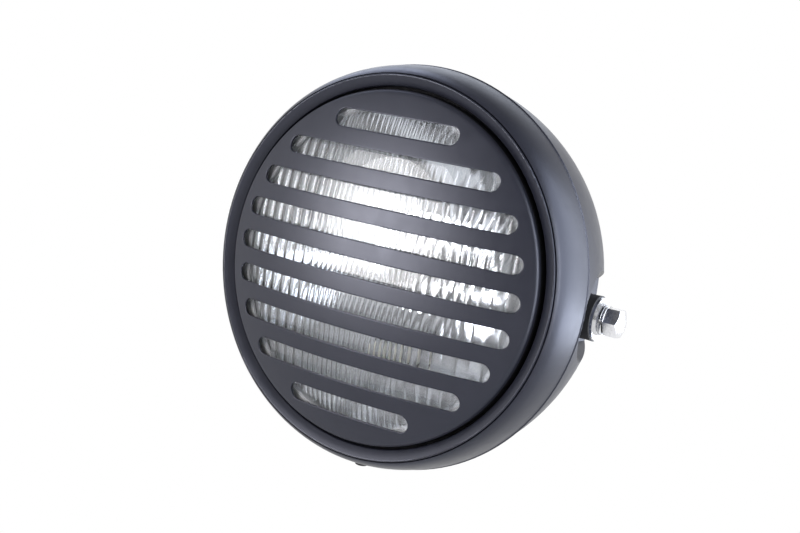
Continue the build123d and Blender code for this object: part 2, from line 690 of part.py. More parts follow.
PIECES = {
    "bucket": make_bucket(),
    "trim_ring": make_trim_ring(),
    "grille_plate": make_grille(),
    "lens": make_lens(),
    "lens_gasket": tube(SEAT_R, LENS_R + FIT_GAP, FLANGE_BACK, LENS_RIM_FRONT),
    "reflector": make_reflector(),
    "retaining_ring": make_retaining_ring(),
    "retaining_screws": make_retaining_screws(),
    "bulb_collar": tube(SEAT_LAND_R, BULB_HOLE_R, COLLAR_FRONT, COLLAR_BACK),
    "bulb_flange": make_bulb_flange(),
    "bulb_glass": make_bulb_glass(),
    "bulb_base": make_bulb_base(),
    "bulb_contacts": make_blades(0),
    "bulb_clip": make_bulb_clip(),
    "bulb_boot": make_bulb_boot(),
    "pilot_holder": make_pilot_holder(),
    "pilot_bulb": make_pilot_bulb(),
    "ring_screw": make_ring_screw(),
    "ring_nut": make_ring_nut(),
    "cable_grommet": make_grommet(),
    "mount_bushes": both_sides(make_bush()),
    "wide_washers": both_sides(bolt_ring(WIDE_WASHER_D, BUSH_END, WIDE_END)),
    "plain_washers": both_sides(bolt_ring(PLAIN_WASHER_D, WIDE_END, PLAIN_END)),
    "spring_washers": both_sides(make_spring_washer()),
    "mount_bolts": both_sides(make_bolt()),
    "mount_nuts": both_sides(make_nut()),
}

os.makedirs("parts", exist_ok=True)
to_mount_axis = Pos(0, -RIM_TO_MOUNT, MOUNT_DROP)
for name, piece in PIECES.items():
    export_step(to_mount_axis*piece, f"parts/{name}.step")
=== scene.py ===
"""Looks of a round motorcycle headlight with a slotted grille, as an add-on that is run as a script."""

import math

import bmesh
import bpy
import numpy as np
from bpy.props import FloatProperty, FloatVectorProperty, IntProperty, PointerProperty
from bpy.types import Operator, Panel, PropertyGroup
from mathutils import Matrix, Vector


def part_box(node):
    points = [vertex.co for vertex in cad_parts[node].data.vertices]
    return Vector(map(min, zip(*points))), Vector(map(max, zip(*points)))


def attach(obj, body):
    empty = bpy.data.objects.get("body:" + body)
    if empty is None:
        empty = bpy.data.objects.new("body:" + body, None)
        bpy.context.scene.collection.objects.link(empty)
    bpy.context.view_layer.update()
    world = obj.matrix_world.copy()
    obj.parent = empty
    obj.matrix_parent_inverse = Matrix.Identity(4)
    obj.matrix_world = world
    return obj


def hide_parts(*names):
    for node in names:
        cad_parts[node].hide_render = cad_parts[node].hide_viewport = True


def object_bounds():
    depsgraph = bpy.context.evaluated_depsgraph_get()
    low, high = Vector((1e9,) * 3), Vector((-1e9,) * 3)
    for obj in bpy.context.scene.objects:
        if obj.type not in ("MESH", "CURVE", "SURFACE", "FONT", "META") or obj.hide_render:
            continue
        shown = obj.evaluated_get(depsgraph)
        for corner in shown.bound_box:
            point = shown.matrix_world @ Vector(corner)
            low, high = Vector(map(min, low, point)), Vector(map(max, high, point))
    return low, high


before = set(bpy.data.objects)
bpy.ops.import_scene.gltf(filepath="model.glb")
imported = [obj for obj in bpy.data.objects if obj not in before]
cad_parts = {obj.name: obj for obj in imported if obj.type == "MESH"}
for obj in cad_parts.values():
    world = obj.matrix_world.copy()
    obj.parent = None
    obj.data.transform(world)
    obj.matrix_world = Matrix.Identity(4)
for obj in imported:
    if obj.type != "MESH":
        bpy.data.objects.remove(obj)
CAD_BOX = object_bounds()

bl_info = {
    "name": "Round Motorcycle Headlight",
    "version": (1, 0, 0),
    "blender": (4, 5, 0),
    "location": "3D View > Sidebar > Headlight",
    "description": "Dresses the solids of a round headlight: grille, glass, reflector, bulb and finishes",
    "category": "Object",
}

# The lamp's own axis runs along Y at the height of the ring's middle
RING_LOW, RING_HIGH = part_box("trim_ring")
AXIS_Z = (RING_LOW.z + RING_HIGH.z)/2

# Points closer than this become one
WELD = 1e-6

# Places closer than this count as the same, and places and angles are rounded to this many digits
SAME = WELD/4
DIGITS = 7


def length(name, description, default):
    """Length property in metres."""
    return FloatProperty(name=name, description=description, default=default, unit="LENGTH", precision=5)


def degrees(name, description, default):
    """Angle property whose default is given in degrees."""
    return FloatProperty(name=name, description=description, default=math.radians(default), subtype="ANGLE")


def colour(name, description, default):
    """Linear colour property."""
    return FloatVectorProperty(name=name, description=description, default=default, subtype="COLOR", size=3)


def share(name, description, default):
    """Property between none and all."""
    limits = {"min": 0, "max": 1, "subtype": "FACTOR"}
    return FloatProperty(name=name, description=description, default=default, **limits)


class GrilleSizes(PropertyGroup):
    """Sizes of the slotted grille plate."""
    radius: length("Radius", "Outside radius of the plate's side wall", 0.0852)
    sag: length("Sag", "How far the dome stands in front of its rim", 0.0156)
    sheet: length("Sheet", "Thickness of the sheet", 0.0015)
    rim_round: length("Rim rounding", "Radius of the rounded rim", 0.003)
    wall: length("Wall", "Depth of the side wall behind the rim plane", 0.008)
    flange_radius: length("Flange radius", "Outside radius of the flange behind the wall", 0.0881)
    slot_pitch: length("Slot pitch", "Distance from slot to slot", 0.017)
    slot_height: length("Slot height", "Height of each slot", 0.0087)
    slot_border: length("Slot border", "Plain border left outside the slot ends", 0.0067)
    slot_round: length("Slot edge", "Rounding of the slots' edges", 0.0004)
    rim_to_mount: length("Rim to mount", "Distance from the rim plane back to the side bolts", 0.052)


class LensSizes(PropertyGroup):
    """Sizes of the fluted glass."""
    gap: length("Gap", "Distance from the grille's inside to the glass", 0.0024)
    side_gap: length("Side gap", "Distance from the grille's side wall to the glass", 0.0017)
    thickness: length("Thickness", "Thickness of the glass", 0.004)
    rim_front: length("Rim front", "Depth of the rim's front face", 0.011)
    rim_back: length("Rim back", "Depth of the rim's back face", 0.0145)
    rim_round: length("Rim rounding", "Rounding of the rim's edges", 0.0003)
    field_border: length("Field border", "Plain border round the fluted field", 0.002)
    fine_pitch: length("Fine pitch", "Width of the flutes in the middle", 0.003)
    left_pitch: length("Left pitch", "Width of the flutes at the left", 0.0064)
    right_pitch: length("Right pitch", "Width of the flutes at the right", 0.006)
    flute_depth: share("Flute depth", "Depth of a flute as a share of its width", 0.1)


class ReflectorSizes(PropertyGroup):
    """Sizes of the plated bowl."""
    focal: length("Focal length", "Focal length of the bowl's parabola", 0.027)
    wall: length("Wall", "Thickness of the bowl along the lamp's axis", 0.00125)
    mouth: length("Mouth", "Inside radius of the bowl at its flange", 0.078)
    land: length("Land", "Radius where the bowl meets the flat bulb seat", 0.026)
    bulb_hole: length("Bulb hole", "Radius of the hole for the bulb", 0.019)
    pilot_right: length("Pilot right", "Pilot lamp's place to the right of the lamp's axis", -0.008)
    pilot_up: length("Pilot up", "Pilot lamp's place above the lamp's axis", -0.047)
    pilot_hole: length("Pilot hole", "Radius of the pilot lamp's hole", 0.0075)
    boss_wall: length("Boss wall", "Thickness of the boss round that hole", 0.0015)
    boss_past: length("Boss past", "How far the boss stands out past the bowl", 0.0025)


class SpringSizes(PropertyGroup):
    """Sizes of the split spring washers."""
    bore: length("Bore", "Inside radius of the washer", 0.0042)
    rise: length("Rise", "How far one end of the split stands off the other", 0.0006)
    gap: length("Gap", "Width of the split", 0.0014)
    lean: share("Lean", "Slope of the split's ends", 0.45)
    edge: length("Edge", "Rounding of the wire's edges", 0.0002)


class BulbSizes(PropertyGroup):
    """Sizes of the main bulb's inside."""
    wall: length("Wall", "Thickness of the glass", 0.0008)
    tip_round: length("Tip rounding", "Radius of the rounded tip", 0.006)
    tip_length: length("Tip length", "Length of the dark tip", 0.005)
    coil_length: length("Coil length", "Length of a filament", 0.005)
    coil_radius: length("Coil radius", "Radius of a filament's turns", 0.0007)
    coil_turns: IntProperty(name="Coil turns", description="Turns of a filament", default=12, min=3)
    wire: length("Wire", "Radius of a filament's wire", 0.00012)
    post: length("Post", "Radius of the wires that carry the filaments", 0.0004)
    shield_radius: length("Shield radius", "Radius of the shield under the front filament", 0.0027)


class LampFinish(PropertyGroup):
    """Colours and gloss of the finishes."""
    coat: colour("Coat", "Black coat on the grille, ring and bucket", (0.0065, 0.007, 0.011))
    coat_roughness: share("Coat roughness", "How matt the black coat is", 0.37)
    rubber: colour("Rubber", "Bushes, inlet and seals", (0.012, 0.012, 0.013))
    bright: colour("Bright plating", "Bolts, washers and nuts", (0.78, 0.78, 0.79))
    mirror: colour("Mirror", "Plated inside of the reflector", (0.91, 0.925, 0.95))
    glass: colour("Glass", "Tint of the lens", (0.965, 0.98, 1.0))
    cream: colour("Pilot glass", "Frosted pilot bulb", (0.82, 0.78, 0.66))


class LampStage(PropertyGroup):
    """Camera and floor."""
    azimuth: degrees("Azimuth", "Turn of the camera", 30.01)
    elevation: degrees("Elevation", "Rise of the camera", 6.81)
    roll: degrees("Roll", "Roll of the camera", 9.99)
    distance: length("Distance", "Distance of the camera from its target", 0.5877)
    target_right: length("Target right", "Target's place to the right of the lamp's axis", 0.01156)
    target_up: length("Target up", "Target's place above the lamp's axis", 0.0029)
    focal: FloatProperty(name="Focal length", description="In millimetres", default=55.57, unit="CAMERA")
    sensor: FloatProperty(name="Sensor width", description="In millimetres", default=36, unit="CAMERA")
    floor_gap: length("Floor gap", "Room between the lamp and the floor", 0.2)


def grid_mesh(name, grids):
    """Mesh of quads over several grids of points, one after the other."""
    points, faces, start = [], [], 0
    for grid in grids:
        rows, cols = grid.shape[:2]
        index = np.arange(rows*cols).reshape(rows, cols) + start
        quads = np.stack([index[:-1, :-1], index[:-1, 1:], index[1:, 1:], index[1:, :-1]], axis=-1)
        points.append(grid.reshape(-1, 3))
        faces.append(quads.reshape(-1, 4))
        start += rows*cols
    mesh = bpy.data.meshes.new(name)
    mesh.from_pydata(np.concatenate(points).tolist(), [], np.concatenate(faces).tolist())
    return mesh


def new_object(name, data):
    """Object of the scene that holds a mesh, a camera or a lamp."""
    made = bpy.data.objects.new(name, data)
    bpy.context.scene.collection.objects.link(made)
    return made


def new_piece(name, grids, material, nodes, crease=40):
    """Object from closed grids: welded, turned outwards, smooth below the crease angle, on the root."""
    mesh = grid_mesh(name, grids)
    work = bmesh.new()
    work.from_mesh(mesh)
    bmesh.ops.remove_doubles(work, verts=work.verts, dist=WELD)
    bmesh.ops.dissolve_degenerate(work, edges=work.edges, dist=WELD)
    bmesh.ops.recalc_face_normals(work, faces=work.faces)
    work.to_mesh(mesh)
    work.free()
    mesh.shade_smooth()
    mesh.set_sharp_from_angle(angle=math.radians(crease))
    mesh.materials.append(material)
    piece = new_object(name, mesh)
    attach(piece, "root")
    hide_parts(*nodes)
    return piece


def round_corners(points, radii, steps):
    """Path through corner points, where each corner becomes an arc of its radius.

    With half the corner's angle, the arc's centre lies radius/sin(half) from the corner on its bisector,
    and the arc starts and ends radius/tan(half) from the corner.
    """
    path = [np.array(points[0])[None]]
    for before, corner, after, radius in zip(points, points[1:], points[2:], radii):
        corner = np.array(corner)
        to_before = np.array(before) - corner
        to_after = np.array(after) - corner
        to_before /= np.linalg.norm(to_before)
        to_after /= np.linalg.norm(to_after)
        half = math.acos(np.clip(to_before @ to_after, -1, 1))/2
        centre = corner + (to_before + to_after)/np.linalg.norm(to_before + to_after)*radius/math.sin(half)
        start = corner + to_before*radius/math.tan(half) - centre
        end = corner + to_after*radius/math.tan(half) - centre
        turn = np.linspace(0, math.pi - 2*half, steps)
        across = (end - start*math.cos(turn[-1]))/math.sin(turn[-1])
        path.append(centre + start*np.cos(turn)[:, None] + across*np.sin(turn)[:, None])
    path.append(np.array(points[-1])[None])
    return np.concatenate(path)


def turned(profile, angles, rim_to_mount):
    """Grid of a (radius, depth) profile turned about the lamp's axis through the given angles.

    A point lies radius cos(angle) aside and radius sin(angle) above the axis, and depth behind a plane that
    stands rim_to_mount in front of the origin.
    """
    radius, depth = profile[:, :1], profile[:, 1:]
    x = radius*np.cos(angles)
    z = AXIS_Z + radius*np.sin(angles)
    y = depth - rim_to_mount + 0*angles
    return np.stack([x, y, z], axis=-1)


def full_turn(count):
    """Angles of a whole turn, with the first one repeated at the end."""
    return np.linspace(0, 2*math.pi, count + 1)


def capped(grid):
    """A swept grid, its sections in columns, with each end closed onto the middle of its section."""
    ends = [grid[:, column] for column in (0, -1)]
    return [grid] + [np.stack([end, 0*end + end[:-1].mean(axis=0)], axis=1) for end in ends]


# A direction that no wire runs along
WIRE_SIDEWAYS = (0.3, 0.1, 0.95)


def tube(path, radius, sides=8):
    """Round wire along a path: each point moved by radius across the path's direction."""
    ahead = np.gradient(path, axis=0)
    ahead /= np.linalg.norm(ahead, axis=1, keepdims=True)
    across = np.cross(ahead, WIRE_SIDEWAYS)
    across /= np.linalg.norm(across, axis=1, keepdims=True)
    around = full_turn(sides)[:, None, None]
    return capped(path + radius*(np.cos(around)*across + np.sin(around)*np.cross(ahead, across)))


def circle_rise(x, radius):
    """Height of a circle about the lamp's axis at each x: sqrt(radius^2 - x^2)."""
    return np.sqrt(np.maximum(radius**2 - x**2, 0))


class Dome:
    """Sphere shared by the grille and the glass, as a depth for each radius from the lamp's axis."""

    def __init__(self, grille):
        self.radius = (grille.radius**2 + grille.sag**2)/(2*grille.sag)
        self.centre = self.radius - grille.sag

    def depth(self, radius, inset):
        """Depth of the sphere set in by inset: centre - sqrt((R - inset)^2 - r^2)."""
        return self.centre - np.sqrt((self.radius - inset)**2 - radius**2)

    def point(self, radius, inset):
        """Point (radius, depth) of the sphere set in by inset."""
        return radius, float(self.depth(radius, inset))


# Divisions of the grille: a slot's round end and rolled edge, the plate's sides and middle, and its rim
SLOT_END_POINTS = 13
SLOT_EDGE_POINTS = 4
SIDE_POINTS = 24
SIDE_TURN = 0.7
MIDDLE_COLUMNS = 26
MIDDLE_SHARE = 0.98
RIM_RINGS = 6
RIM_ARC_POINTS = 9

# Shares of the way across a strip between two slots at which the plate has points
STRIP_SHARES = np.array([0, 0.04, 0.2, 0.5, 0.8, 0.96, 1])[:, None]

# The field round the slots ends this many edge roundings outside them, and the dome this many rim roundings
# inside the rim
FIELD_REACH = 3
RIM_REACH = 1.1


def slot_past(x, half, radius):
    """How far x lies past a slot's straight run, held to its rounded end."""
    past = np.clip(np.abs(x) - half, 0, radius)
    return np.where(radius - past < SAME, radius, past)


def slot_rise(x, half, radius):
    """Height of a slot's edge above its centre line.

    It is the radius along the straight run and sqrt(radius^2 - (|x| - half)^2) at the ends.
    """
    past = slot_past(x, half, radius)
    return np.sqrt(radius**2 - past**2)


def slot_loop(columns, half, edge_radius, radius, z):
    """Edge of a slot as a closed loop of x and z, its points moved in from edge_radius to radius."""
    x = columns[np.abs(columns) <= half + edge_radius + SAME]
    past = slot_past(x, half, edge_radius)
    moved = np.where(past > 0, np.sign(x)*(half + past*radius/edge_radius), x)
    rise = slot_rise(x, half, edge_radius)*radius/edge_radius
    loop_x = np.concatenate([moved, moved[::-1]])
    loop_z = np.concatenate([z + rise, z - rise[::-1]])
    return loop_x, loop_z


def plate_columns(heights, halves, radius, field):
    """Places of the plate's columns: close at every slot's ends and at the field's sides."""
    quarter = radius*np.cos(np.linspace(0, math.pi/2, SLOT_END_POINTS))
    ends = np.concatenate([half + quarter for half in halves])
    corners = np.sqrt(field**2 - heights**2)
    sides = field*np.cos(np.linspace(0, SIDE_TURN, SIDE_POINTS))
    middle = np.linspace(0, field*MIDDLE_SHARE, MIDDLE_COLUMNS)
    right = np.unique(np.round(np.concatenate([ends, corners, sides, middle]), DIGITS))
    right[-1] = field
    return np.concatenate([-right[:0:-1], right])


def plate_strips(columns, heights, halves, radius, field):
    """Plane grids of x and z that fill the field circle round the slots, strip by strip.

    A strip lies between two slots' centre lines. At every column it runs from the upper edge of one slot to
    the lower edge of the next, and both are held inside the circle.
    """
    circle = circle_rise(columns, field)
    rises = [slot_rise(columns, half, radius) for half in halves]
    lows = [-circle] + [z + rise for z, rise in zip(heights, rises)]
    highs = [z - rise for z, rise in zip(heights, rises)] + [circle]
    for low, high in zip(lows, highs):
        low = np.clip(low, -circle, circle)
        high = np.clip(high, -circle, circle)
        yield columns + 0*STRIP_SHARES, (1 - STRIP_SHARES)*low + STRIP_SHARES*high


class HEADLIGHT_OT_grille(Operator):
    """Domed plate with rounded level slots, a rolled rim, a side wall and a flange"""
    bl_idname = "headlight.grille"
    bl_label = "Grille plate"

    def execute(self, context):
        sizes = context.scene.headlight_grille
        dome = Dome(sizes)
        edge = sizes.slot_round
        cap = sizes.slot_height/2
        end_radius = cap + edge
        cap_field = sizes.radius - sizes.slot_border - cap
        rows = int(cap_field/sizes.slot_pitch)
        field = sizes.radius - sizes.slot_border + FIELD_REACH*edge
        heights = np.arange(-rows, rows + 1)*sizes.slot_pitch
        halves = np.sqrt(cap_field**2 - heights**2)
        columns = plate_columns(heights, halves, end_radius, field)

        def lifted(x, z, through):
            """Points of the plate at x and z, through the sheet by a share of its thickness."""
            radius = np.hypot(x, z)
            front, back = dome.depth(radius, 0), dome.depth(radius, sizes.sheet)
            y = (1 - through)*front + through*back - sizes.rim_to_mount
            return np.stack([x, y, z + AXIS_Z], axis=-1)

        strips = plate_strips(columns, heights, halves, end_radius, field)
        grids = [lifted(x, z, side) for x, z in strips for side in (0, 1)]
        # A slot's edge rolls in by edge sin(turn) while it sinks by edge (1 - cos(turn)), on both faces
        turn = np.linspace(0, math.pi/2, SLOT_EDGE_POINTS)
        into = edge*np.sin(turn)
        down = edge*(1 - np.cos(turn))
        inward = np.concatenate([into, into[::-1]])
        through = np.concatenate([down, sizes.sheet - down[::-1]])/sizes.sheet
        for height, half in zip(heights, halves):
            loops = [slot_loop(columns, half, end_radius, end_radius - inset, height) for inset in inward]
            x, z = np.array(loops).transpose(1, 0, 2)
            grids.append(lifted(x, z, through[:, None]))
        circle = circle_rise(columns, field)
        upper = np.arctan2(circle, columns)
        lower = np.arctan2(-circle[::-1], columns[::-1])
        angles = np.unwrap(np.concatenate([upper, lower]))
        grids.append(turned(self.rim_profile(sizes, dome, field), angles, sizes.rim_to_mount))
        coat = coat_material(context)
        piece = new_piece("grille_plate_dressed", grids, coat, ["grille_plate"])
        # The faces deep in the groove get painted shade: near-black matt paint that stands in for the
        # groove's shadow
        self.paint_groove_shade(piece.data, sizes)
        return {"FINISHED"}

    @staticmethod
    def paint_groove_shade(mesh, sizes):
        """Painted shade: matt black on the faces whose middle lies deeper than half the side wall."""
        mesh.materials.append(groove_shade_material())
        middles = np.empty(3*len(mesh.polygons))
        mesh.polygons.foreach_get("center", middles)
        deep = middles[1::3] + sizes.rim_to_mount > sizes.wall/2
        if not deep.any():
            raise RuntimeError("the grille has no side wall")
        mesh.polygons.foreach_set("material_index", deep.astype(np.int32))

    @staticmethod
    def rim_profile(sizes, dome, field):
        """Path from the field's edge over the rounded rim, down the wall, round the flange and back in."""
        inner = sizes.radius - sizes.sheet
        back = sizes.wall + sizes.sheet
        near = sizes.radius - RIM_REACH*sizes.rim_round
        steps = np.linspace(field, near, RIM_RINGS)[:-1]
        front = np.stack([steps, dome.depth(steps, 0)], axis=-1)
        inside = np.stack([steps[::-1], dome.depth(steps[::-1], sizes.sheet)], axis=-1)
        corners = [
            dome.point(near, 0),
            dome.point(sizes.radius, 0),
            (sizes.radius, sizes.wall),
            (sizes.flange_radius, sizes.wall),
            (sizes.flange_radius, back),
            (inner, back),
            dome.point(inner, sizes.sheet),
            dome.point(near, sizes.sheet),
        ]
        fold, corner = sizes.sheet/3, sizes.sheet/5
        radii = [sizes.rim_round, fold, corner, corner, corner, sizes.rim_round - sizes.sheet]
        return np.concatenate([front, round_corners(corners, radii, RIM_ARC_POINTS), inside])


# Shares of the field's radius where the flutes start to widen at the left and right, and over which they do
WIDER_LEFT = 0.36
WIDER_RIGHT = 0.3
WIDER_OVER = 0.1

# Divisions of the lens: columns to a flute and at each end, rows, rings in front and points of an arc
FLUTE_COLUMNS = 8
END_COLUMNS = 25
END_TURN = 0.5
LENS_ROWS = 101
FRONT_RINGS = 40
LENS_ARC_POINTS = 7

# Places across the field at which the flutes are counted
COUNT_PLACES = 4001

# Roundings of the glass's front and inside corners as shares of the field's border
FRONT_CORNER = 0.7
INSIDE_CORNER = 0.5


class HEADLIGHT_OT_lens(Operator):
    """Domed glass with a plain front and flutes of several widths pressed into its back"""
    bl_idname = "headlight.lens"
    bl_label = "Fluted lens"

    def execute(self, context):
        sizes = context.scene.headlight_lens
        grille = context.scene.headlight_grille
        dome = Dome(grille)
        outer = grille.radius - grille.sheet - sizes.side_gap
        inner = outer - sizes.thickness
        field = inner - sizes.field_border
        front_inset = grille.sheet + sizes.gap
        back_inset = front_inset + sizes.thickness
        # The back is the dome less the flutes, on columns that each span the height of the field's circle
        columns = self.columns(sizes, field)
        rise = np.linspace(-1, 1, LENS_ROWS)[:, None]
        tall = circle_rise(columns, field)
        x = columns + 0*rise
        z = rise*tall
        y = dome.depth(np.hypot(x, z), back_inset) - self.lift(sizes, x, z, field) - grille.rim_to_mount
        fluted = np.stack([x, y, z + AXIS_Z], axis=-1)
        edge = np.concatenate([np.arctan2(tall, columns), np.arctan2(-tall, columns)])
        angles = np.unique(np.round(edge, DIGITS))
        # The front, the rim and the inside wall are one profile turned about the axis
        front_radius = np.linspace(0, outer - sizes.field_border, FRONT_RINGS)
        front = np.stack([front_radius, dome.depth(front_radius, front_inset)], axis=-1)
        seat = grille.flange_radius
        corners = [
            tuple(front[-1]),
            dome.point(outer, front_inset),
            (outer, sizes.rim_front),
            (seat, sizes.rim_front),
            (seat, sizes.rim_back),
            (inner, sizes.rim_back),
            dome.point(inner, back_inset),
            dome.point(field, back_inset),
        ]
        border = sizes.field_border
        radii = [border*FRONT_CORNER] + [sizes.rim_round]*4 + [border*INSIDE_CORNER]
        side = round_corners(corners, radii, LENS_ARC_POINTS)
        body = turned(np.concatenate([front[:-1], side]), angles, grille.rim_to_mount)
        new_piece("lens_dressed", [fluted, body], glass_material(context), ["lens"], crease=30)
        return {"FINISHED"}

    @staticmethod
    def pitch(sizes, x, field):
        """Width of the flutes at each x: fine in the middle and wider to the left and right."""
        left = np.clip((-x/field - WIDER_LEFT)/WIDER_OVER, 0, 1)
        right = np.clip((x/field - WIDER_RIGHT)/WIDER_OVER, 0, 1)
        fine = sizes.fine_pitch
        return fine + left*(sizes.left_pitch - fine) + right*(sizes.right_pitch - fine)

    def counted(self, sizes, field):
        """Places across the field, and how many flutes lie to the left of each: the sum of step/pitch."""
        places = np.linspace(-field, field, COUNT_PLACES)
        middles = (places[1:] + places[:-1])/2
        flutes = np.cumsum(np.diff(places)/self.pitch(sizes, middles, field))
        return places, np.concatenate([[0], flutes])

    def columns(self, sizes, field):
        """Places of the grid's columns, evenly across each flute and closer at the field's ends."""
        places, count = self.counted(sizes, field)
        even = np.interp(np.arange(0, count[-1], 1/FLUTE_COLUMNS), count, places)
        ends = field*np.cos(np.linspace(0, END_TURN, END_COLUMNS))
        return np.unique(np.concatenate([-ends, ends, even]))

    def lift(self, sizes, x, z, field):
        """Depth of the pressed flutes: 4t(1 - t) across each, fading out at the field's border."""
        across = np.interp(x, *self.counted(sizes, field)) % 1
        border = np.clip((field - np.hypot(x, z))/sizes.field_border, 0, 1)
        return sizes.flute_depth*self.pitch(sizes, x, field)*(4*across*(1 - across))*border


# The bowl leaves out a patch round the pilot lamp that reaches this many boss radii to each side
PATCH_REACH = 1.5

# Divisions of the reflector: the patch's rings, spokes and steps across, then the bowl's rings and spokes
PATCH_RINGS = 13
PATCH_SPOKES = 17
PATCH_STEPS = 7
INNER_RINGS = 8
OUTER_RINGS = 16
BOWL_SPOKES = 161


class HEADLIGHT_OT_reflector(Operator):
    """Parabolic bowl with a flange, a flat bulb seat and a boss round the pilot lamp's hole"""
    bl_idname = "headlight.reflector"
    bl_label = "Reflector"

    def execute(self, context):
        sizes = context.scene.headlight_reflector
        low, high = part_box("reflector")
        front, rim = low.y, high.x
        boss = sizes.pilot_hole + sizes.boss_wall
        reach = math.hypot(sizes.pilot_right, sizes.pilot_up)
        half = PATCH_REACH*boss
        near = np.linspace(reach - half, reach + half, PATCH_RINGS)
        towards = math.atan2(sizes.pilot_up, sizes.pilot_right)
        beside = towards + np.linspace(-half/reach, half/reach, PATCH_SPOKES)
        rest = np.linspace(beside[-1], beside[0] + 2*math.pi, BOWL_SPOKES)
        around = np.concatenate([beside[:-1], rest])
        inner_band = np.linspace(sizes.land, near[0], INNER_RINGS)
        outer_band = np.linspace(near[-1], sizes.mouth, OUTER_RINGS)

        def depth(radius):
            """Depth of the parabola at a radius: front + (mouth^2 - radius^2)/(4 focal)."""
            return front + (sizes.mouth**2 - radius**2)/(4*sizes.focal)

        def bowl(x, z, shift):
            """Points of the parabola at x and z, moved back by shift."""
            return np.stack([x, depth(np.hypot(x, z)) + shift, z + AXIS_Z], axis=-1)

        grids = []
        for radii, angles in ((inner_band, around), (near, rest), (outer_band, around)):
            x, z = radii[:, None]*np.cos(angles), radii[:, None]*np.sin(angles)
            grids += [bowl(x, z, 0), bowl(x, z, sizes.wall)]
        flange = (sizes.mouth, rim, front)
        seat = (sizes.land, sizes.bulb_hole, depth(sizes.land))
        for inner, outer, face in (flange, seat):
            back = face + sizes.wall
            edge = [(inner, face), (outer, face), (outer, back), (inner, back)]
            grids.append(turned(np.array(edge), around, 0))

        # The patch blends from its edge to a circle, and the boss runs back from there
        loop = self.patch_edge(near, beside)
        pilot = np.array((sizes.pilot_right, sizes.pilot_up))[:, None]
        away = (loop - pilot)/np.linalg.norm(loop - pilot, axis=0)
        blend = np.linspace(0, 1, PATCH_STEPS)[:, None]
        boss_back = depth(reach - boss) + sizes.wall + sizes.boss_past

        def patch(radius, shift):
            """Bowl between the patch's edge and a circle round the pilot lamp."""
            x, z = (1 - blend)*loop[:, None] + blend*(pilot + radius*away)[:, None]
            return bowl(x, z, shift)

        def circle(radius):
            """Circle round the pilot lamp on the boss's flat end."""
            x, z = pilot + radius*away
            return np.stack([x, 0*x + boss_back, z + AXIS_Z], axis=-1)

        inside, outside = patch(sizes.pilot_hole, 0), patch(boss, sizes.wall)
        wall = np.stack([inside[-1], circle(sizes.pilot_hole), circle(boss), outside[-1]])
        grids += [inside, outside, wall]
        mirror = mirror_material(context)
        new_piece("reflector_dressed", grids, mirror, ["reflector"], crease=20)
        return {"FINISHED"}

    @staticmethod
    def patch_edge(near, beside):
        """Closed loop of x and z round a patch of the bowl between two radii and two angles."""
        inner, outer = 0*beside[1:] + near[0], 0*beside[1:] + near[-1]
        first, last = 0*near[1:] + beside[0], 0*near[1:] + beside[-1]
        radius = np.concatenate([inner, near[:-1], outer, near[:0:-1], near[:1]])
        angle = np.concatenate([beside[:-1], last, beside[:0:-1], first, beside[:1]])
        return np.stack([radius*np.cos(angle), radius*np.sin(angle)])


# Divisions of a spring washer: round its turn and at each edge of its wire
WASHER_POINTS = 81
WASHER_EDGE_POINTS = 4


class HEADLIGHT_OT_spring_washers(Operator):
    """Split washers of square wire that climb a little along the bolt"""
    bl_idname = "headlight.spring_washers"
    bl_label = "Spring washers"

    def execute(self, context):
        sizes = context.scene.headlight_spring
        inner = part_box("plain_washers")[1].x
        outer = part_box("spring_washers")[1].x
        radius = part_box("spring_washers")[1].y
        bore, high = sizes.bore, outer - sizes.rise
        corners = [(inner, bore), (inner, radius), (high, radius), (high, bore), (inner, bore)]
        section = round_corners(corners, [sizes.edge]*3, WASHER_EDGE_POINTS)
        # The section climbs by the rise on its way round the bolt, and the split's ends lean
        station, from_bolt = section[:, :1], section[:, 1:]
        turn = np.linspace(0, 1, WASHER_POINTS)
        half_gap = sizes.gap/2/radius
        angles = math.pi + half_gap + turn*2*(math.pi - half_gap)
        angles = angles + sizes.lean*(station - inner)/radius
        x = station + turn*sizes.rise
        y = from_bolt*np.cos(angles)
        z = from_bolt*np.sin(angles)
        right = capped(np.stack([x, y, z], axis=-1))
        left = [grid*np.array((-1, 1, 1)) for grid in right]
        bright = bright_material(context)
        new_piece("spring_washers_dressed", right + left, bright, ["spring_washers"])
        return {"FINISHED"}


# Each filament's start as a share of the bulb's length, and the rise of its wires in coil radii
FILAMENTS = ((0.36, 2), (0.56, -2))

# How far the wires stand aside in coil radii, and how many coats of tip paint are as thick as the glass
WIRE_ASIDE = 3
COATS_TO_WALL = 16

# The shield's start as a share of the bulb's length, its length in coil lengths, and its arc in half turns
SHIELD_START = 0.33
SHIELD_LENGTH = 1.4
SHIELD_FROM = 1.05
SHIELD_TO = 1.95

# Divisions of the bulb, its tip, a coil's turn, a coil's wire, a post and the shield
BULB_SIDES = 64
TIP_POINTS = 12
COIL_POINTS = 12
WIRE_SIDES = 6
POST_POINTS = 6
SHIELD_POINTS = 24


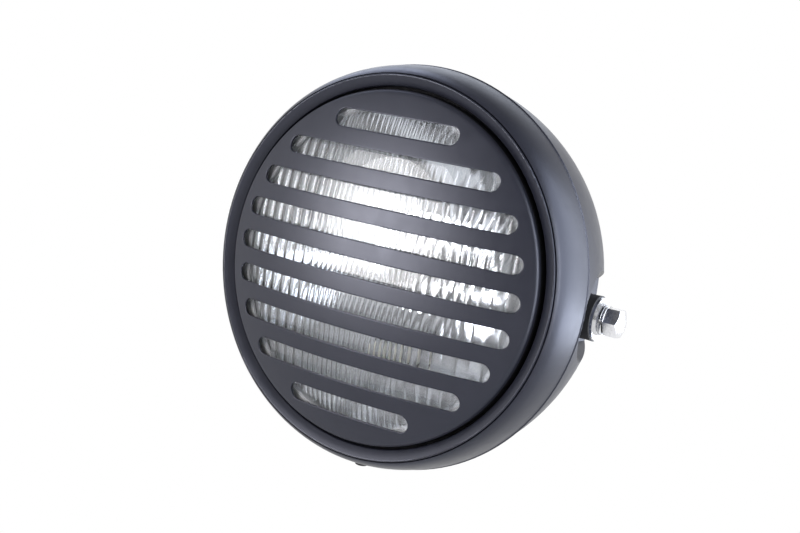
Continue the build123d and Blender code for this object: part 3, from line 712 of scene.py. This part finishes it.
class HEADLIGHT_OT_bulb(Operator):
    """Clear bulb with a dark tip, two coiled filaments on wires and a shield"""
    bl_idname = "headlight.bulb"
    bl_label = "Main bulb"

    def execute(self, context):
        sizes = context.scene.headlight_bulb
        low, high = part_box("bulb_glass")
        front, back, radius = low.y, high.y, high.x
        tip = sizes.tip_round
        inner, inner_front = radius - sizes.wall, front + sizes.wall
        outside = round_corners([(0, front), (radius, front), (radius, back)], [tip], TIP_POINTS)
        corners = [(inner, back), (inner, inner_front), (0, inner_front)]
        inside = round_corners(corners, [tip - sizes.wall], TIP_POINTS)
        self.skin("bulb_envelope", outside, inside, clear_material())
        coat = sizes.wall/COATS_TO_WALL
        outer, outer_front, end = radius + coat, front - coat, front + sizes.tip_length
        outside = round_corners([(0, outer_front), (outer, outer_front), (outer, end)], [tip], TIP_POINTS)
        inside = round_corners([(radius, end), (radius, front), (0, front)], [tip], TIP_POINTS)
        self.skin("bulb_tip", outside, inside, tip_material())
        self.inside(sizes, front, back)
        return {"FINISHED"}

    @staticmethod
    def skin(name, outside, inside, material):
        """Closed skin between an outer and an inner path of (radius, depth), turned about the axis."""
        grid = turned(np.concatenate([outside, inside]), full_turn(BULB_SIDES), 0)
        new_piece(name, [grid], material, ["bulb_glass"])

    @staticmethod
    def inside(sizes, front, back):
        """Filaments, the wires from their ends to the base, and a half-round shield.

        A filament is a helix: its angle about the bulb's axis grows evenly along its length.
        """
        turn = np.linspace(0, 1, COIL_POINTS*sizes.coil_turns)
        angle = 2*math.pi*sizes.coil_turns*turn
        x = sizes.coil_radius*np.cos(angle)
        z = AXIS_Z + sizes.coil_radius*np.sin(angle)
        run = np.linspace(0, 1, POST_POINTS)[:, None]
        grids = []
        for start, lift in FILAMENTS:
            y = front + start*(back - front) + turn*sizes.coil_length
            coil = np.stack([x, y, z], axis=-1)
            grids += tube(coil, sizes.wire, WIRE_SIDES)
            for end, side in ((coil[0], -1), (coil[-1], 1)):
                aside = end + np.array((side*WIRE_ASIDE*sizes.coil_radius, 0, lift*sizes.coil_radius))
                foot = np.array((aside[0], back, aside[2]))
                path = np.concatenate([end + run*(aside - end), aside + run[1:]*(foot - aside)])
                grids += tube(path, sizes.post)
        near = front + SHIELD_START*(back - front)
        far = near + SHIELD_LENGTH*sizes.coil_length
        inner, outer = sizes.shield_radius, sizes.shield_radius + sizes.post/2
        section = np.array([(inner, near), (outer, near), (outer, far), (inner, far), (inner, near)])
        arc = np.linspace(math.pi*SHIELD_FROM, math.pi*SHIELD_TO, SHIELD_POINTS)
        grids += capped(turned(section, arc, 0))
        new_piece("bulb_filaments", grids, nickel_material(), ["bulb_glass"])


def put(made, **values):
    """Put values on a node's inputs, or on its settings where no input has that name."""
    for key, value in values.items():
        name = key.replace("_", " ")
        if name in made.inputs:
            made.inputs[name].default_value = value
        else:
            setattr(made, key, value)


def node(tree, kind, *, links=(), **values):
    """New shader node with its settings and input values, linked from other nodes' outputs."""
    made = tree.nodes.new("ShaderNode" + kind)
    put(made, **values)
    for source, target in links:
        tree.links.new(source, made.inputs[target])
    return made


def new_material(name):
    """Material with an output, a principled shader and object coordinates."""
    material = bpy.data.materials.new(name)
    material.use_nodes = True
    tree = material.node_tree
    tree.nodes.clear()
    shader = node(tree, "BsdfPrincipled")
    node(tree, "OutputMaterial", links=[(shader.outputs[0], "Surface")])
    place = node(tree, "TexCoord").outputs["Object"]
    return material, tree, shader, place


def noise(tree, place, scale, detail):
    """Noise of a given number of waves to the metre."""
    return node(tree, "TexNoise", links=[(place, "Vector")], Scale=scale, Detail=detail).outputs["Fac"]


def mapped(tree, value, start, end, low=0.0, high=1.0):
    """A value mapped from the range between start and end onto the one between low and high."""
    made = node(tree, "MapRange", links=[(value, "Value")], From_Min=start, From_Max=end)
    put(made, To_Min=low, To_Max=high)
    return made.outputs[0]


def vector_math(tree, operation, vector, other=(0, 0, 0)):
    """Outputs of an operation on a vector and a constant one."""
    made = node(tree, "VectorMath", operation=operation, links=[(vector, 0)])
    made.inputs[1].default_value = other
    return made.outputs


# Places of the two colours among a Mix node's inputs, and of the mixed colour among its outputs
MIX_FIRST = 6
MIX_SECOND = 7
MIX_RESULT = 2


def tint(tree, value, dark, light):
    """A noise value mapped onto two colours."""
    mix = node(tree, "Mix", data_type="RGBA", links=[(value, "Factor")])
    mix.inputs[MIX_FIRST].default_value = (*dark, 1)
    mix.inputs[MIX_SECOND].default_value = (*light, 1)
    return mix.outputs[MIX_RESULT]


def combined(tree, operation, first, second):
    """Result of an operation, such as a product, on two values."""
    return node(tree, "Math", operation=operation, links=[(first, 0), (second, 1)]).outputs[0]


def shade(value, factor):
    """A colour made darker or lighter."""
    return tuple(min(1, channel*factor) for channel in value)


# Most of a noise's values lie between these
NOISE_RANGE = (0.3, 0.7)


def uneven_material(name, colours, patch, gloss, grain, relief, **settings):
    """Material whose colour, roughness and relief each follow a noise of their own.

    The colour runs between two colours by the noise patch, and the roughness between two values by the
    noise grain. A noise is its waves to the metre and its detail. Relief adds its strength and distance.
    """
    material, tree, shader, place = new_material(name)
    put(shader, **settings)
    tree.links.new(tint(tree, noise(tree, place, *patch), *colours), shader.inputs["Base Color"])
    roughness = mapped(tree, noise(tree, place, *grain), *NOISE_RANGE, *gloss)
    tree.links.new(roughness, shader.inputs["Roughness"])
    scale, detail, strength, distance = relief
    height = noise(tree, place, scale, detail)
    bump = node(tree, "Bump", links=[(height, "Height")], Strength=strength, Distance=distance)
    tree.links.new(bump.outputs[0], shader.inputs["Normal"])
    return material


def coat_material(context):
    """Satin black powder coat: near-black with a fine orange peel and slightly uneven gloss."""
    found = bpy.data.materials.get("satin_black_coat")
    if found:
        return found
    finish = context.scene.headlight_finish
    return uneven_material(
        "satin_black_coat",
        colours=(shade(finish.coat, 0.85), shade(finish.coat, 1.15)),
        patch=(55, 3),
        gloss=(finish.coat_roughness - 0.03, finish.coat_roughness + 0.03),
        grain=(140, 4),
        relief=(1700, 3, 0.12, 0.00008),
        Specular_IOR_Level=0.44,
        Specular_Tint=(0.84, 0.865, 1.0, 1),
    )


# Radii between which the glass turns cloudy, and how clear it is at each
GLASS_BORDER = (0.075, 0.079, 0.97, 0.6)


def glass_material(context):
    """Pressed clear glass with a faint waviness, cloudy towards its border."""
    finish = context.scene.headlight_finish
    material = uneven_material(
        "pressed_glass",
        colours=(shade(finish.glass, 0.985), finish.glass),
        patch=(30, 2),
        gloss=(0.0, 0.015),
        grain=(260, 3),
        relief=(120, 2, 0.015, 0.0003),
        IOR=1.5,
    )
    tree = material.node_tree
    place = tree.nodes["Texture Coordinate"].outputs["Object"]
    from_axis = vector_math(tree, "SUBTRACT", place, (0, 0, AXIS_Z))["Vector"]
    flat = vector_math(tree, "MULTIPLY", from_axis, (1, 0, 1))["Vector"]
    radius = vector_math(tree, "LENGTH", flat)["Value"]
    clear = mapped(tree, radius, *GLASS_BORDER)
    tree.links.new(clear, tree.nodes["Principled BSDF"].inputs["Transmission Weight"])
    return material


def plated_material(name, plating, roughness, grain, metallic=1.0):
    """Bright plated metal with fine grain in its gloss."""
    return uneven_material(
        name,
        colours=(shade(plating, 0.93), plating),
        patch=(90, 3),
        gloss=(roughness*0.6, roughness*1.4),
        grain=(grain, 4),
        relief=(grain, 2, 0.05, 0.00005),
        Metallic=metallic,
    )


def plain_material(name, paint, roughness, transmission=0.0, specular=0.5):
    """Moulded, painted or frosted surface with slight unevenness."""
    return uneven_material(
        name,
        colours=(shade(paint, 0.92), paint),
        patch=(150, 3),
        gloss=(roughness*0.8, roughness*1.2),
        grain=(300, 3),
        relief=(900, 3, 0.08, 0.00005),
        Transmission_Weight=transmission,
        Specular_IOR_Level=specular,
    )


def rubber_material(context):
    """Matt moulded rubber."""
    rubber = context.scene.headlight_finish.rubber
    return uneven_material(
        "moulded_rubber",
        colours=(shade(rubber, 0.8), shade(rubber, 1.3)),
        patch=(180, 3),
        gloss=(0.55, 0.7),
        grain=(420, 4),
        relief=(1400, 4, 0.2, 0.0001),
    )


def bright_material(context):
    """Bright plating of the bolts and washers."""
    found = bpy.data.materials.get("bright_plating")
    plating = context.scene.headlight_finish.bright
    return found or plated_material("bright_plating", plating, roughness=0.2, grain=900)


def mirror_material(context):
    """Vacuum plating of the reflector, a little hazy."""
    plating = context.scene.headlight_finish.mirror
    return plated_material("reflector_plating", plating, roughness=0.07, grain=60, metallic=0.82)


def nickel_material():
    """Dull nickel of the bulb's wires."""
    return plated_material("nickel_wire", (0.5, 0.49, 0.47), roughness=0.3, grain=2500)


def clear_material():
    """Clear glass of the bulb."""
    return plain_material("bulb_clear_glass", (0.98, 0.98, 0.97), roughness=0.03, transmission=1.0)


def tip_material():
    """Dark paint on the bulb's tip."""
    return plain_material("bulb_tip_paint", (0.03, 0.03, 0.032), roughness=0.4)


def groove_shade_material():
    """Painted shade: matt black, barely glossy paint that darkens the groove round the grille."""
    return plain_material("groove_painted_shade", (0.004, 0.004, 0.005), roughness=0.8, specular=0.1)


class HEADLIGHT_OT_finishes(Operator):
    """Finishes of the pieces that keep their solid shapes"""
    bl_idname = "headlight.finishes"
    bl_label = "Finishes"

    def execute(self, context):
        finish = context.scene.headlight_finish
        rubber = rubber_material(context)
        bright = bright_material(context)
        grey, dark = shade(finish.bright, 0.75), shade(finish.bright, 0.05)
        zinc = plated_material("zinc_plating", grey, roughness=0.3, grain=700)
        brass = plated_material("brass_blades", (0.72, 0.6, 0.36), roughness=0.3, grain=700)
        black_zinc = plated_material("black_zinc_plating", dark, roughness=0.35, grain=700)
        cream = plain_material("pilot_glass", finish.cream, roughness=0.35, transmission=0.3)
        moulded = plain_material("moulded_base", (0.8, 0.78, 0.72), roughness=0.5)
        groups = {
            coat_material(context): ["bucket", "trim_ring"],
            black_zinc: ["ring_screw"],
            rubber: ["lens_gasket", "bulb_boot", "pilot_holder", "cable_grommet", "mount_bushes"],
            zinc: [
                "retaining_ring", "retaining_screws", "bulb_collar", "bulb_flange", "bulb_clip", "ring_nut",
            ],
            bright: ["wide_washers", "plain_washers", "mount_bolts", "mount_nuts"],
            brass: ["bulb_contacts"],
            cream: ["pilot_bulb"],
            moulded: ["bulb_base"],
        }
        for material, nodes in groups.items():
            for name in nodes:
                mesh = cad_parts[name].data
                mesh.materials.clear()
                mesh.materials.append(material)
        return {"FINISHED"}


# Elliptical softboxes: azimuth, elevation, distance, width, height, radiance and colour
SOFTBOXES = {
    "key_edge": (-27, 4, 1.12, 1.02, 1.0, 3.6, (1.0, 0.985, 1.0)),
    "key_middle": (-27, 5, 1.1, 0.74, 0.74, 5.5, (1.0, 0.985, 1.0)),
    "key_core": (-28, 6, 1.08, 0.46, 0.52, 6.0, (1.0, 0.985, 1.0)),
    "key_heart": (-28, 6, 1.06, 0.27, 0.32, 4.0, (1.0, 0.985, 1.0)),
    "side": (108, 12, 1.1, 1.8, 1.7, 4.6, (0.78, 0.85, 1.0)),
    "side_low": (128, -11, 0.9, 0.9, 0.22, 8.0, (0.78, 0.85, 1.0)),
    "rim": (70, 6, 1.1, 0.18, 1.3, 16.0, (0.92, 0.95, 1.0)),
    "back": (212, 32, 1.3, 1.4, 0.7, 0.9, (0.7, 0.8, 1.0)),
    "top": (-110, 50, 1.2, 0.9, 0.9, 3.4, (0.7, 0.77, 1.0)),
}

# Strength of the surround as a light, and where gloss sees it dimmer: a direction, the cosines of the
# angles to it at which the dimming starts and ends, and the level that it falls to
SURROUND_LIGHT = 0.45
DIM_AHEAD = ((0.05, -0.99, 0.1), 0.77, 0.93, 0.2)
DIM_ABOVE = ((0.0, 0.0, 1.0), 0.4, 0.75, 0.4)

# Half the floor's width, and the distances from the origin between which it turns white
FLOOR_HALF = 4
FLOOR_FADE = (0.2, 0.34)

# Nearest distance that the camera sees
CLIP_START = 0.01


def aim(azimuth, elevation, roll=0.0):
    """Back, right and up directions of something that looks at the lamp from an azimuth and elevation."""
    out = math.cos(elevation)
    back = Vector((math.sin(azimuth)*out, -math.cos(azimuth)*out, math.sin(elevation)))
    right = Vector((math.cos(azimuth), math.sin(azimuth), 0))
    up = back.cross(right)
    turned_right = math.cos(roll)*right + math.sin(roll)*up
    turned_up = math.cos(roll)*up - math.sin(roll)*right
    return back, turned_right, turned_up


def facing(place, right, up, back):
    """Matrix of a camera or lamp at a place with the given directions."""
    turn = Matrix((right, up, back)).transposed().to_4x4()
    return Matrix.Translation(place) @ turn


def seen_rays(tree):
    """One for rays of the camera, of gloss and of glass, and none for the rest."""
    path = node(tree, "LightPath").outputs
    either = combined(tree, "MAXIMUM", path["Is Camera Ray"], path["Is Glossy Ray"])
    return combined(tree, "MAXIMUM", either, path["Is Transmission Ray"])


def floor_material():
    """Pale matt floor that turns white further out, to the eye, to gloss and to glass."""
    material, tree, shader, place = new_material("pale_floor")
    pale = tint(tree, noise(tree, place, 3, 2), (0.86, 0.86, 0.86), (0.9, 0.9, 0.9))
    tree.links.new(pale, shader.inputs["Base Color"])
    put(shader, Roughness=0.9, Specular_IOR_Level=0)
    white = node(tree, "Emission")
    fade = mapped(tree, vector_math(tree, "LENGTH", place)["Value"], *FLOOR_FADE)
    factor = combined(tree, "MULTIPLY", fade, seen_rays(tree))
    mix = node(tree, "MixShader", links=[(factor, 0), (shader.outputs[0], 1), (white.outputs[0], 2)])
    tree.links.new(mix.outputs[0], tree.nodes["Material Output"].inputs["Surface"])
    return material


class HEADLIGHT_OT_stage(Operator):
    """Camera, softboxes, white surround and pale floor"""
    bl_idname = "headlight.stage"
    bl_label = "Stage"

    def execute(self, context):
        stage = context.scene.headlight_stage
        grille = context.scene.headlight_grille
        middle = Vector((0, -grille.rim_to_mount, AXIS_Z))
        self.camera(context, stage, middle)
        for name, values in SOFTBOXES.items():
            self.softbox(name, values, middle)
        self.floor(stage)
        self.surround(context)
        context.scene.view_settings.view_transform = "Standard"
        return {"FINISHED"}

    @staticmethod
    def camera(context, stage, middle):
        """Camera at the photograph's angle, with the frame's own roll."""
        back, right, up = aim(stage.azimuth, stage.elevation)
        target = middle + stage.target_right*right + stage.target_up*up
        back, right, up = aim(stage.azimuth, stage.elevation, stage.roll)
        camera = bpy.data.cameras.new("camera")
        camera.lens = stage.focal
        camera.sensor_width = stage.sensor
        camera.clip_start = CLIP_START
        placed = new_object("camera", camera)
        placed.matrix_world = facing(target + stage.distance*back, right, up, back)
        context.scene.camera = placed

    @staticmethod
    def softbox(name, values, middle):
        """Elliptical soft lamp aimed at the headlight's middle, of energy radiance x pi x area."""
        azimuth, elevation, distance, width, height, radiance, light_colour = values
        back, right, up = aim(math.radians(azimuth), math.radians(elevation))
        lamp = bpy.data.lights.new(name, "AREA")
        lamp.shape = "ELLIPSE"
        lamp.size, lamp.size_y = width, height
        lamp.energy = radiance*math.pi**2*width*height/4
        lamp.color = light_colour
        placed = new_object(name, lamp)
        placed.matrix_world = facing(middle + distance*back, right, up, back)
        placed.visible_camera = False

    @staticmethod
    def floor(stage):
        """Level floor below the lamp that takes its shadow and runs out to the white surround."""
        level = CAD_BOX[0].z - stage.floor_gap
        span = np.linspace(-FLOOR_HALF, FLOOR_HALF, 3)
        x, y = np.meshgrid(span, span)
        mesh = grid_mesh("floor", [np.stack([x, y, 0*x + level], axis=-1)])
        mesh.materials.append(floor_material())
        floor = new_object("floor", mesh)

    @staticmethod
    def surround(context):
        """World that is white to the eye and to glass, dims ahead and above for gloss, and lights softly."""
        world = bpy.data.worlds.new("surround")
        context.scene.world = world
        world.use_nodes = True
        tree = world.node_tree
        tree.nodes.clear()
        strength = mapped(tree, seen_rays(tree), 0.0, 1.0, SURROUND_LIGHT, 1.0)
        way = node(tree, "TexCoord").outputs["Generated"]

        def dimmed(direction, start, end, level):
            """Falls from one to a level as the way nears a direction."""
            near = vector_math(tree, "DOT_PRODUCT", way, direction)["Value"]
            return mapped(tree, near, start, end, 1.0, level)

        dim = combined(tree, "MULTIPLY", dimmed(*DIM_AHEAD), dimmed(*DIM_ABOVE))
        glossy = node(tree, "LightPath").outputs["Is Glossy Ray"]
        side = node(tree, "Mix", links=[(glossy, "Factor"), (dim, "B")], A=1.0)
        level = combined(tree, "MULTIPLY", strength, side.outputs[0])
        background = node(tree, "Background", links=[(level, "Strength")], Color=(1, 1, 1, 1))
        node(tree, "OutputWorld", links=[(background.outputs[0], "Surface")])


OPERATORS = (
    HEADLIGHT_OT_finishes,
    HEADLIGHT_OT_grille,
    HEADLIGHT_OT_lens,
    HEADLIGHT_OT_reflector,
    HEADLIGHT_OT_spring_washers,
    HEADLIGHT_OT_bulb,
    HEADLIGHT_OT_stage,
)


class HEADLIGHT_PT_panel(Panel):
    """Sidebar list of the headlight's pieces"""
    bl_label = "Headlight"
    bl_space_type = "VIEW_3D"
    bl_region_type = "UI"
    bl_category = "Headlight"

    def draw(self, context):
        for operator in OPERATORS:
            self.layout.operator(operator.bl_idname)


SETTINGS = {
    "headlight_grille": GrilleSizes,
    "headlight_lens": LensSizes,
    "headlight_reflector": ReflectorSizes,
    "headlight_spring": SpringSizes,
    "headlight_bulb": BulbSizes,
    "headlight_finish": LampFinish,
    "headlight_stage": LampStage,
}


def register():
    """Add the settings, the operators and the panel."""
    for name, group in SETTINGS.items():
        bpy.utils.register_class(group)
        setattr(bpy.types.Scene, name, PointerProperty(type=group))
    for operator in OPERATORS:
        bpy.utils.register_class(operator)
    bpy.utils.register_class(HEADLIGHT_PT_panel)


def unregister():
    """Take them away again."""
    bpy.utils.unregister_class(HEADLIGHT_PT_panel)
    for operator in reversed(OPERATORS):
        bpy.utils.unregister_class(operator)
    for name, group in SETTINGS.items():
        delattr(bpy.types.Scene, name)
        bpy.utils.unregister_class(group)


def main():
    """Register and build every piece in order."""
    register()
    for operator in OPERATORS:
        group, name = operator.bl_idname.split(".")
        getattr(getattr(bpy.ops, group), name)()


if __name__ == "__main__":
    main()
